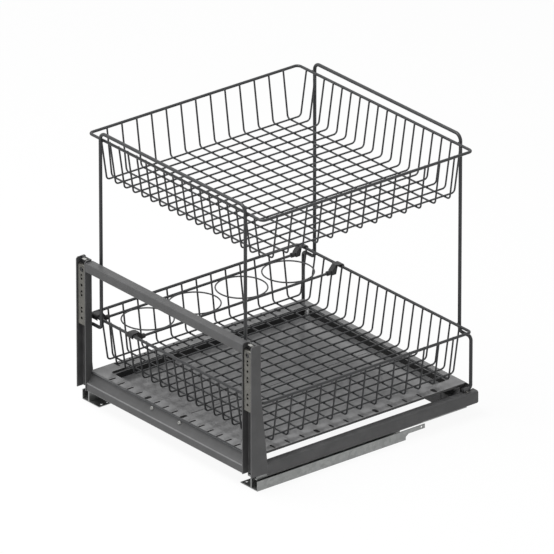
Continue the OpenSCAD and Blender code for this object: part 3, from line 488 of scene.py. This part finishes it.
def basket_welds(tier):
    """All beads of a basket, at its crossings and where its wires end at the rim."""
    z = rim_z[tier]
    gx, gy = np.meshgrid(long_x, cross_y)
    crossings = np.column_stack([gx.ravel(), gy.ravel(), np.full(gx.size, z - DEPTH - WIRE_R)])
    front_back = [(x, MID_Y + s * (RIM_Y - RIM_R - BEAD_IN), z - BEAD_DROP)
                  for x in long_x for s in (-1, 1)]
    sides = [(s * (RIM_X - RIM_R - BEAD_IN), y, z - BEAD_DROP) for y in cross_y for s in (-1, 1)]
    mesh = joined(copies(*bead(*CROSSING_BEAD), crossings),
                  copies(*bead(*FRONT_BEAD), front_back),
                  copies(*bead(*SIDE_BEAD), sides))
    made = piece(f"{tier}_basket_welds", mesh, f"{tier}_basket_rim")
    print(f"{made.name}: {len(crossings) + len(front_back) + len(sides)} beads")


basket_welds("upper")
basket_welds("lower")

# %% [markdown]
# ## The frames that carry the baskets
#
# Front and back, one thick wire makes the whole frame: a bar over the upper basket, two posts
# welded to both rims, a shoulder outwards under the lower rim, a leg and a foot. It is one path
# with eight bends, the top two wider than the rest.

# %% Front and back frames
# The path is bent in three parts, which meet on the posts, MEET_DROP below the bar.
FRAME_R = 0.003
POST_IN = 0.0373
POST_X = RIM_X - POST_IN
TOP_BEND_R, FRAME_BEND_R = 0.012, 0.007
SHOULDER_DROP, MEET_DROP = 0.012, 0.1


def basket_frame(node, inward):
    """The frame of that node. Its feet point inwards: 1 is towards +Y and -1 towards -Y."""
    low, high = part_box(node)
    y = low.y + FRAME_R if inward > 0 else high.y - FRAME_R
    end_y = high.y if inward > 0 else low.y
    top_z, foot_z, leg_x = high.z - FRAME_R, low.z + FRAME_R, high.x - FRAME_R
    shoulder_z = rim_z["lower"] - SHOULDER_DROP
    side = [(POST_X, y, top_z - MEET_DROP), (POST_X, y, shoulder_z), (leg_x, y, shoulder_z),
            (leg_x, y, foot_z), (leg_x, end_y, foot_z)]
    right = bent_path(side, FRAME_BEND_R, steps=9)
    left = right[::-1] * (-1, 1, 1)
    bar = bent_path([left[-1], (-POST_X, y, top_z), (POST_X, y, top_z), right[0]], TOP_BEND_R,
                    steps=11)
    path = np.concatenate([left[:-1], bar, right[1:]])
    compared(piece(f"{node}_round", wire(path, FRAME_R, sides=16), node, [node]), node)


basket_frame("front_frame", 1)
basket_frame("rear_frame", -1)

# %% [markdown]
# ## Bottle rack
#
# Two rods lie along the basket and four thin rings are welded between them. A ring is a circle
# carried round a circle, a torus: ((R + r cos b) cos a, (R + r cos b) sin a, r sin b).

# %% Rods and rings
ROD_R = 0.00225
RING_R = 0.044
RING_WIRE_R = 0.0013
RING_COUNT, RING_STEPS = 4, 72

low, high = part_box("rack_rods")
rod_x = (low.x + ROD_R, high.x - ROD_R)
rack_z = (low.z + high.z) / 2
rods = joined(*[wire([(x, low.y, rack_z), (x, high.y, rack_z)], ROD_R, sides=14) for x in rod_x])
compared(piece("rack_rods_round", rods, "rack_rods", ["rack_rods"]), "rack_rods")

low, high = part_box("rack_rings")
ring_x = (low.x + high.x) / 2
ring_ys = np.linspace(low.y + RING_R + RING_WIRE_R, high.y - RING_R - RING_WIRE_R, RING_COUNT)
angle = 2 * math.pi * np.arange(RING_STEPS) / RING_STEPS
circle = np.column_stack([np.cos(angle), np.sin(angle), 0 * angle]) * RING_R
rings = copies(*wire(circle, RING_WIRE_R, closed=True), [(ring_x, y, rack_z) for y in ring_ys])
compared(piece("rack_rings_round", rings, "rack_rings", ["rack_rings"]), "rack_rings")

# %% Welds of the rack and of the frames
RACK_BEAD = (0.0012, 0.0035, 0.0014)
POST_BEAD = (0.0042, 0.0012, 0.0032)

rack_spots = [(x, y, rack_z)
              for x in (ring_x - RING_R - RING_WIRE_R, ring_x + RING_R + RING_WIRE_R)
              for y in ring_ys]
frame_spots = [(s * POST_X, y, z) for s in (-1, 1) for z in rim_z.values()
               for y in (MID_Y - RIM_Y - RIM_R, MID_Y + RIM_Y + RIM_R)]
welds = joined(copies(*bead(*RACK_BEAD, around=10, up=5), rack_spots),
               copies(*bead(*POST_BEAD, around=10, up=5), frame_spots))
print(len(piece("frame_and_rack_welds", welds, "front_frame").data.polygons), "faces of weld")

# %% [markdown]
# ## Folded sheet and moulded parts
#
# Sheet steel has no sharp edges: a fold is as round as the press tool, a cut edge is only broken,
# and the coat is thin and rubbed there. So a merged copy of each solid gets two bevels: a wide one
# on long folds between two broad faces, and a narrow one on every other sharp edge. The faces of
# both bevels carry an attribute, "edge", which the finishes read to paint them paler, for the
# rubbed coat and a painted highlight.

# %% Which edges are folds
FOLD_DEG = 30.0
LEAST_BREADTH = 0.0018


def breadth(face, edge):
    """Greatest distance of the face's corners from the edge's line: |(p - a) x direction|."""
    start = edge.verts[0].co
    along = (edge.verts[1].co - start).normalized()
    return max((v.co - start).cross(along).length for v in face.verts)


def folds_of(shape, least_length):
    """Long sharp edges between two faces that are both broader than the sheet is thick."""
    return [e for e in shape.edges
            if len(e.link_faces) == 2 and e.calc_length() > least_length
            and e.calc_face_angle() > math.radians(FOLD_DEG)
            and min(breadth(f, e) for f in e.link_faces) > LEAST_BREADTH]


# %% A copy of a CAD solid with its folds rounded and its edges broken
SHARP_DEG, FLAT_DEG = 32.0, 0.5
FOLD_SHARE = 0.2
FOLD_SEGMENTS, EDGE_SEGMENTS = 4, 2
FULL_WEIGHT = 100


def bevelled(shape, edges, width, segments):
    """Bevels the edges and sets the attribute edge to 1 on the new faces."""
    if not edges:
        return
    layer = shape.faces.layers.float["edge"]
    made = bmesh.ops.bevel(shape, geom=edges, offset=width, offset_type="OFFSET",
                           affect="EDGES", segments=segments, profile=0.5, clamp_overlap=True)
    for face in made["faces"]:
        face[layer] = 1.0


def dressed(node, fold_r, edge_r):
    """Puts a bevelled copy in the place of a CAD node, and counts its folds and edges."""
    shape = bmesh.new()
    shape.from_mesh(frame["nodes"][node].data)
    bmesh.ops.remove_doubles(shape, verts=shape.verts, dist=MERGE_DIST)
    bmesh.ops.dissolve_limit(shape, angle_limit=math.radians(FLAT_DEG), verts=shape.verts,
                             edges=shape.edges)
    shape.faces.layers.float.new("edge")
    reach = max(b - a for a, b in zip(*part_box(node)))
    folds = folds_of(shape, FOLD_SHARE * reach) if fold_r else []
    bevelled(shape, folds, fold_r, FOLD_SEGMENTS)
    sharp = [e for e in shape.edges if len(e.link_faces) == 2
             and e.calc_face_angle() > math.radians(SHARP_DEG)]
    bevelled(shape, sharp, edge_r, EDGE_SEGMENTS)
    bmesh.ops.dissolve_degenerate(shape, edges=shape.edges, dist=MERGE_DIST)
    data = bpy.data.meshes.new(f"{node}_edged")
    shape.to_mesh(data)
    shape.free()
    finish = finish_of_node.get(node, finish_of_slot[slot_of_node[node]])
    obj = shown(data, node, SHARP_DEG, finish)
    flat_faces = obj.modifiers.new("flat faces stay flat", "WEIGHTED_NORMAL")
    flat_faces.keep_sharp, flat_faces.weight = True, FULL_WEIGHT
    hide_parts(node)
    return len(folds), len(sharp)


# %% All sheet and moulded pieces
WIDE_FOLD, MIDDLE_FOLD, SMALL_FOLD, NO_FOLD = 0.0014, 0.0010, 0.0008, 0.0
CUT_EDGE, MOULDED_EDGE = 0.0003, 0.0005


def pairs(*stems):
    """The names of the left and the right node of each stem."""
    return [f"{stem}_{side}" for stem in stems for side in ("left", "right")]


kinds = [
    ([*pairs("side_rail"), "front_profile"], WIDE_FOLD, CUT_EDGE),
    (["tray", *pairs("upright")], MIDDLE_FOLD, CUT_EDGE),
    (["cross_bar", "rear_cross_member"], WIDE_FOLD, CUT_EDGE),
    (pairs("cabinet_member", "drawer_member", "middle_member"), SMALL_FOLD, CUT_EDGE),
    ([*pairs("soft_close", "latch_base", "latch_lever"), "rack_clips", "rail_caps"],
     NO_FOLD, MOULDED_EDGE),
    ([*pairs("door_plate"), "foot_clamps", "clamp_screws", "profile_screws",
      *pairs("cam_screw")], NO_FOLD, CUT_EDGE),
]
for names, fold_r, edge_r in kinds:
    for node in names:
        print(node, "folds, edges:", dressed(node, fold_r, edge_r))

# %% [markdown]
# ## Slots of the tray's border
#
# The slots are pressed, not cut through: each is a blind pocket. A pocket is a stadium outline,
# which is two half circles joined by straight sides, carried down with a shrinking radius, and
# back up on its outside one sheet thickness away. The shade inside the pockets is painted: they
# go with the dark front profile and take its darker finish, not the tray's.

# %% One pocket
ROUNDING = 0.7


def pocket(length, width, depth, thick=0.0006, around=20):
    """P(k, a) = (r(k) cos a, r(k) sin a +- c, z(k)), c = half the straight side."""
    inner = [(0.0, -depth), (ROUNDING, -depth), (1.0, -ROUNDING * depth), (1.0, 0.0)]
    grown = 1.0 + 2 * thick / width
    outer = [(grown * r, z - thick) for r, z in inner[::-1]]
    levels = np.array([*inner, (grown, 0.0), *outer])
    a = 2 * math.pi * (np.arange(around) + 0.5) / around
    r, z = levels[:, :1] * width / 2, levels[:, 1:]
    straight = (length - width) / 2 * np.sign(np.sin(a))
    points = np.stack([r * np.cos(a), r * np.sin(a) + straight, z + 0 * a], -1)
    return points.reshape(-1, 3), grid_quads(len(levels), around, wrap_columns=True)


def turned(mesh):
    """The mesh turned by a quarter about Z: (x, y, z) becomes (-y, x, z)."""
    points, faces = mesh
    return np.stack([-points[:, 1], points[:, 0], points[:, 2]], -1), faces


# %% A row in front and one on each side, in step with the wires of the basket above
# A few slots in each row are twice as wide. They are given by their number in the row.
SLOT_LEN, SLOT_W, SLOT_DEPTH = 0.014, 0.0036, 0.0045
FRONT_ROW_IN, SIDE_ROW_IN, SIDE_ROW_ON = 0.012, 0.009, 0.004
SLOT_SINK = 0.0002
FRONT_SLOTS = range(-7, 8)
WIDE_IN_FRONT, WIDE_AT_SIDES = (-3, 1), (3, 7, 11)

tray_low, tray_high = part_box("tray")
slot_z = tray_high.z - SLOT_SINK
front_row = {i: [(i * LONG_PITCH, tray_low.y + FRONT_ROW_IN, slot_z)] for i in FRONT_SLOTS}
side_rows = {k: [(s * (tray_high.x - SIDE_ROW_IN), y + SIDE_ROW_ON, slot_z) for s in (-1, 1)]
             for k, y in enumerate(cross_y[:-1])}
narrow, wide = (pocket(SLOT_LEN, w, SLOT_DEPTH) for w in (SLOT_W, 2 * SLOT_W))
pockets = joined(
    *[copies(*(wide if i in WIDE_IN_FRONT else narrow), at) for i, at in front_row.items()],
    *[copies(*turned(wide if k in WIDE_AT_SIDES else narrow), at) for k, at in side_rows.items()])
# The pockets take the front profile's dark finish as painted shade.
made = piece("border_pockets", pockets, "front_profile")
print(len(front_row) + 2 * len(side_rows), "pockets,", len(made.data.polygons), "faces")

# %% [markdown]
# ## Bent strips of sheet
#
# Four small things are bent strips. The front profile laps over the tray's front edge as far as
# the slots, in the darker coat of the wires, which paints the shade under the tray's edge. The
# upper end of each door plate is folded back to stiffen it. A bright tab stands off the web just
# below the top of each upright. At each back corner a stepped plate, three strips side by side,
# closes the space between tray and rail.
#
# A strip is a bent centre line with half the thickness to either side of it, carried along X and
# closed at both ends, where its edges are rounded a little.

# %% A strip bent in the YZ plane
# The rounding of a cut end: how far it reaches along X and how thick the cut face still is, both
# as shares of the thickness.
EASE_REACH, EASE_THICK = 0.3, 0.7


def strip(corners, bend_r, from_x, to_x, thick):
    """P(s, x) = path(s) +- (thick / 2) n(s), where n is the path's normal."""
    path = bent_path([(0, y, z) for y, z in corners], bend_r, steps=5)[:, 1:]
    ahead = np.gradient(path, axis=0)
    ahead /= np.linalg.norm(ahead, axis=1)[:, None]
    normal = np.column_stack([-ahead[:, 1], ahead[:, 0]]) * thick / 2
    middle, out = np.concatenate([path, path[::-1]]), np.concatenate([normal, -normal[::-1]])
    ease = EASE_REACH * thick
    columns = [(from_x, 0.0), (from_x, EASE_THICK), (from_x + ease, 1.0), (to_x - ease, 1.0),
               (to_x, EASE_THICK), (to_x, 0.0)]
    rows = [np.column_stack([np.full(len(middle), x), middle + k * out]) for x, k in columns]
    return np.concatenate(rows), grid_quads(len(columns), len(middle), wrap_columns=True)


# %% Lap of the front profile over the tray's edge
LAP_T, LAP_X, LAP_BEND_R = 0.0004, 0.2066, 0.0006
LAP_OUT, LAP_RISE, LAP_DROP, LAP_SHORT = 0.0003, 0.00035, 0.0017, 0.0002

lap_y, lap_z = tray_low.y - LAP_OUT, tray_high.z + LAP_RISE
lap_back = tray_low.y + FRONT_ROW_IN - SLOT_LEN / 2 - LAP_SHORT
lap = strip([(lap_y, lap_z - LAP_DROP), (lap_y, lap_z), (lap_back, lap_z)], LAP_BEND_R,
            -LAP_X, LAP_X, LAP_T)
# The lap's darker coat is painted shade along the tray's front edge.
piece("front_profile_lap", lap, "front_profile", finish=finish_of_slot["dark_wire"])
print("lap", round((lap_back - lap_y) * 1000, 1), "mm deep")

# %% Folds of the door plates and tabs of the uprights
PLATE_T, FOLD_BEND_R = 0.0015, 0.001
FOLD_ROOT, FOLD_RISE, FOLD_DEPTH = 0.002, 0.0012, 0.0045
TAB_W, TAB_T, TAB_BEND_R = 0.008, 0.001, 0.0008
TAB_DEPTH, TAB_DROP, TAB_SINK, TAB_OFF = 0.0055, 0.005, 0.0017, 0.0001
WEB_IN = 0.00525

web_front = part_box("cross_bar")[1].y - WEB_IN
for side in ("left", "right"):
    low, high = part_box(f"door_plate_{side}")
    y, top = low.y + PLATE_T / 2, high.z + FOLD_RISE
    fold = strip([(y, high.z - FOLD_ROOT), (y, top), (y + FOLD_DEPTH, top)], FOLD_BEND_R,
                 low.x, high.x, PLATE_T)
    piece(f"door_plate_{side}_fold", fold, f"door_plate_{side}")
    middle_x = (low.x + high.x) / 2
    y, top = web_front - TAB_T / 2 - TAB_OFF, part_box(f"upright_{side}")[1].z - TAB_SINK
    tab = strip([(y, top - TAB_DROP), (y, top), (y - TAB_DEPTH, top)], TAB_BEND_R,
                middle_x - TAB_W / 2, middle_x + TAB_W / 2, TAB_T)
    piece(f"upright_{side}_tab", tab, f"upright_{side}", finish=bright_zinc)
print("folds and tabs at the top of the uprights, web's front at y", round(web_front, 4))

# %% Plates at the back corners
# Each step of a plate has its two ends in X and the height of its foot. The steps overlap by a
# little, so that no two faces share a plane.
CORNER_T, CORNER_BEND_R = 0.0012, 0.0018
CORNER_Z, CORNER_TOP = 0.0396, 0.051
CORNER_IN, CORNER_SHORT = 0.0012, 0.0022
CORNER_STEPS = [(0.1862, 0.2026, 0.0255), (0.2024, 0.2059, 0.0361), (0.2057, 0.2168, 0.0374)]

corner_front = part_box("rear_cross_member")[0].y + CORNER_IN
corner_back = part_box("side_rail_right")[1].y - CORNER_SHORT
for side, s in (("left", -1), ("right", 1)):
    parts = [strip([(corner_front, foot), (corner_front, CORNER_Z), (corner_back, CORNER_Z),
                    (corner_back, CORNER_TOP)], CORNER_BEND_R, from_x, to_x, CORNER_T)
             for from_x, to_x, foot in CORNER_STEPS]
    points, faces = joined(*parts)
    piece(f"rear_corner_{side}", (points * (s, 1, 1), faces), "rear_cross_member")
print("back corners closed from y", round(corner_front, 4), "to", round(corner_back, 4))

# %% A finish for every CAD node, also for those that stay as they are
for node, obj in frame["nodes"].items():
    obj.data.materials.clear()
    obj.data.materials.append(finish_of_slot[slot_of_node[node]])
print("small pieces kept:", ", ".join(n for n, o in frame["nodes"].items() if not o.hide_render))

# %% [markdown]
# ## Studio
#
# A pale floor, a large soft lamp overhead and a weaker one from the door side. The top of a piece
# is then about twice as light as its front, and its right side is the darkest. The background is
# white for the camera and in reflections, but it doesn't light the object that strongly. The
# floor is near white for the same rays, so that it has no edge against the background.

# %% Which rays see the white
def any_ray(nodes, links, *kinds):
    """A socket that is 1 on rays of these kinds and 0 on all others."""
    path = nodes.new("ShaderNodeLightPath")
    found = path.outputs[f"Is {kinds[0]} Ray"]
    for kind in kinds[1:]:
        either = nodes.new("ShaderNodeMath")
        either.operation = "MAXIMUM"
        links.new(found, either.inputs[0])
        links.new(path.outputs[f"Is {kind} Ray"], either.inputs[1])
        found = either.outputs[0]
    return found


# %% Floor
HALF = 6.0
FLOOR_Z = -0.0004
FLOOR_GREY, FLOOR_ROUGH = 0.9, 0.9
FLOOR_WHITE = 0.93

floor_corners = [(x * HALF, y * HALF, FLOOR_Z) for x, y in ((-1, -1), (1, -1), (1, 1), (-1, 1))]
floor_data = bpy.data.meshes.new("floor")
floor_data.from_pydata(floor_corners, [], [(0, 1, 2, 3)])
floor = bpy.data.objects.new("floor", floor_data)
bpy.context.scene.collection.objects.link(floor)
mat, principled, add, links = shader("pale floor")
principled.inputs["Base Color"].default_value = (FLOOR_GREY, FLOOR_GREY, FLOOR_GREY, 1.0)
principled.inputs["Roughness"].default_value = FLOOR_ROUGH
share = add("ShaderNodeMath", {"operation": "MULTIPLY"})
links.new(any_ray(mat.node_tree.nodes, links, "Camera", "Glossy"), share.inputs[0])
share.inputs[1].default_value = FLOOR_WHITE
glow = add("ShaderNodeEmission", Color=(1.0, 1.0, 1.0, 1.0), Strength=1.0)
blend = add("ShaderNodeMixShader", Fac=share.outputs[0])
links.new(principled.outputs[0], blend.inputs[1])
links.new(glow.outputs[0], blend.inputs[2])
links.new(blend.outputs[0], mat.node_tree.nodes["Material Output"].inputs["Surface"])
floor_data.materials.append(mat)
print("floor", 2 * HALF, "m wide")

# %% World
AMBIENT = 0.36

world = bpy.data.worlds.new("studio")
bpy.context.scene.world = world
world.use_nodes = True
nodes, links = world.node_tree.nodes, world.node_tree.links
strength = nodes.new("ShaderNodeMapRange")
links.new(any_ray(nodes, links, "Camera", "Transmission", "Glossy"), strength.inputs["Value"])
strength.inputs["To Min"].default_value = AMBIENT
strength.inputs["To Max"].default_value = 1.0
nodes["Background"].inputs["Color"].default_value = (1.0, 1.0, 1.0, 1.0)
links.new(strength.outputs["Result"], nodes["Background"].inputs["Strength"])
print("ambient light", AMBIENT)

# %% Lamps
LAMP_AIM = np.array([0.0, 0.0, 0.2])


def soft_lamp(name, place, size, watts):
    """A round lamp of that size in metres, turned towards the middle of the object."""
    data = bpy.data.lights.new(name, "AREA")
    data.shape, data.size, data.energy = "DISK", size, watts
    lamp = bpy.data.objects.new(name, data)
    bpy.context.scene.collection.objects.link(lamp)
    lamp.location = place
    lamp.rotation_mode = "QUATERNION"
    lamp.rotation_quaternion = Vector(LAMP_AIM - place).to_track_quat("-Z", "Y")


soft_lamp("overhead", (-0.45, -0.95, 3.0), size=2.0, watts=96.0)
soft_lamp("door side", (-1.6, -3.0, 1.6), size=1.6, watts=3.0)

# %% [markdown]
# ## Camera
#
# The object is seen from far away through a very long lens, so that its parallel wires stay
# nearly parallel. The camera stands to the right of the door side and looks down at 25 degrees.

# %% Camera
AZIMUTH, ELEVATION, DISTANCE = 50.986, 24.55, 22.352
AIM = np.array([0.0, 0.0067, 0.2366])
LENS, SENSOR = 877.8, 36.0
SHIFT_X, SHIFT_Y = -0.0062, 0.0004

a, e = math.radians(AZIMUTH), math.radians(ELEVATION)
back = np.array([math.sin(a) * math.cos(e), -math.cos(a) * math.cos(e), math.sin(e)])
cam_data = bpy.data.cameras.new("camera")
cam_data.lens, cam_data.sensor_width = LENS, SENSOR
cam_data.shift_x, cam_data.shift_y = SHIFT_X, SHIFT_Y
camera = bpy.data.objects.new("camera", cam_data)
bpy.context.scene.collection.objects.link(camera)
camera.location = AIM + back * DISTANCE
camera.rotation_mode = "QUATERNION"
camera.rotation_quaternion = Vector(-back).to_track_quat("-Z", "Y")
bpy.context.scene.camera = camera
bpy.context.scene.view_settings.view_transform = "Standard"
print("camera at", np.round(np.array(camera.location), 3))
